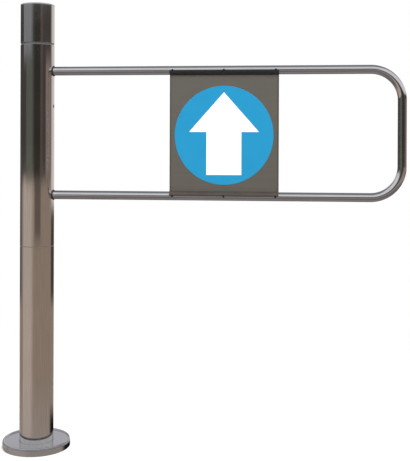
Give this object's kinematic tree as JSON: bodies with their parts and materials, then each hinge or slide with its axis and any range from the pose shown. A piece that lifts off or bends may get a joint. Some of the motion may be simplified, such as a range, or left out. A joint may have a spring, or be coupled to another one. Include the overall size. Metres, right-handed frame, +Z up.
{
  "type": "one-way swing turnstile",
  "caption": "Floor-mounted one-way swing turnstile: a round post with a turning sleeve, a looped tube arm and a sign panel with an arrow, self-closing by an inner cam and spring.",
  "frame": {"origin": "on the floor at the centre of the base, on the post's axis", "axes": "+Z up along the post; +X along the closed arm; visitors face the sign and push the arm towards +Y"},
  "size_m": [0.8991, 0.151, 1],
  "materials": {
    "polished_stainless": "polished stainless tube with fine lengthwise grain",
    "satin_panel": "satin brushed stainless sheet",
    "weld_steel": "dull heat-tinted weld bead",
    "machined_steel": "turned steel",
    "cam_steel": "hardened and ground",
    "black_fastener": "black oxide",
    "zinc_fastener": "zinc plated",
    "plate_steel": "galvanised",
    "spring_steel": "oiled spring wire",
    "bearing_plastic": "grey acetal",
    "magnet": "nickel plated",
    "sensor_brass": "nickel-washed brass barrel",
    "counter_plastic": "moulded grey-black housing",
    "seal_rubber": "black rubber strip",
    "sign_blue": "blue self-adhesive sheet, semi-gloss",
    "sign_white": "white self-adhesive sheet, semi-gloss"
  },
  "bodies": {
    "root": {"base_plate": "plate_steel", "foot_weld": "weld_steel", "base_cover": "polished_stainless", "lower_post": "polished_stainless", "spindle": "machined_steel", "spindle_foot": "machined_steel", "lower_carrier": "machined_steel", "thrust_washer": "bearing_plastic", "feather_key": "machined_steel", "return_spring": "spring_steel", "spring_collar": "machined_steel", "collar_screw": "black_fastener", "upper_washer": "bearing_plastic", "seam_ring": "polished_stainless", "head_carrier": "machined_steel", "head_tube": "polished_stainless", "top_cap": "polished_stainless", "stud_washer": "machined_steel", "stud_nut": "zinc_fastener", "pulse_sensor": "sensor_brass", "sensor_nut": "zinc_fastener", "counter_shelf": "plate_steel", "shelf_screws": "zinc_fastener", "counter_module": "counter_plastic", "module_screws": "zinc_fastener"},
    "arm": {"sleeve": "polished_stainless", "lower_hub": "machined_steel", "lower_bush": "bearing_plastic", "upper_hub": "machined_steel", "upper_bush": "bearing_plastic", "cam_ring": "cam_steel", "cam_screws": "black_fastener", "counting_magnet": "magnet", "arm_tube": "polished_stainless", "arm_welds": "weld_steel", "sign_panel": "satin_panel", "panel_screws": "black_fastener", "joint_seals": "seal_rubber", "sign_disc": "sign_blue", "sign_arrow": "sign_white"},
    "follower": {"follower_yoke": "machined_steel", "roller_pin_right": "machined_steel", "roller_pin_left": "machined_steel"},
    "roller_right": {"roller_right": "machined_steel"},
    "roller_left": {"roller_left": "machined_steel"}
  },
  "joints": [
    {"name": "arm_swing", "type": "hinge", "parent": "root", "child": "arm", "pos_m": [0, 0, 0.7], "axis": [0, 0, 1], "range_deg": [0, 90], "stiffness_Nm_per_rad": 2, "springref_deg": -22.92},
    {"name": "follower_lift", "type": "slide", "parent": "root", "child": "follower", "axis": [0, 0, 1], "range_m": [0, 0.0125], "deforming": ["return_spring"]},
    {"name": "roller_right_spin", "type": "hinge", "parent": "follower", "child": "roller_right", "pos_m": [0.0253, 0, 0.78475], "axis": [1, 0, 0], "range_deg": [0, 402]},
    {"name": "roller_left_spin", "type": "hinge", "parent": "follower", "child": "roller_left", "pos_m": [-0.0253, 0, 0.78475], "axis": [-1, 0, 0], "range_deg": [0, 402]}
  ],
  "couplings": [
    {"joint": "follower_lift", "follows": "arm_swing", "m_per_rad": 0.0076394},
    {"joint": "roller_right_spin", "follows": "arm_swing", "ratio": 4.43},
    {"joint": "roller_left_spin", "follows": "arm_swing", "ratio": 4.43}
  ]
}
